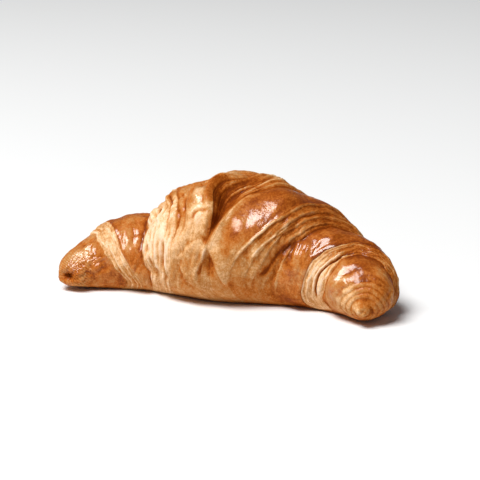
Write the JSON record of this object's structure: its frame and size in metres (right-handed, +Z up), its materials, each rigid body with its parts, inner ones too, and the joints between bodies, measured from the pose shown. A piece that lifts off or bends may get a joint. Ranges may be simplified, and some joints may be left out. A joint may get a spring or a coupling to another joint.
{
  "type": "croissant",
  "caption": "Baked croissant: a crescent of rolled, laminated dough with stepped flaky edges, a tall crown, a deep fold beside it, and two rolled tips. It rests on a flat underside.",
  "frame": {"origin": "centre of the bounding box in X and Y, on the surface that the croissant rests on", "axes": "+X along the croissant from its left tip to its right tip, +Y to the back, -Y towards the side that the tips bend to, +Z up"},
  "size_m": [0.1704, 0.078, 0.0586],
  "materials": {
    "crust": "egg-washed baked crust, glossy brown on the turns and pale and dry on the layered edges"
  },
  "bodies": {
    "root": {"croissant": "crust"}
  },
  "joints": []
}
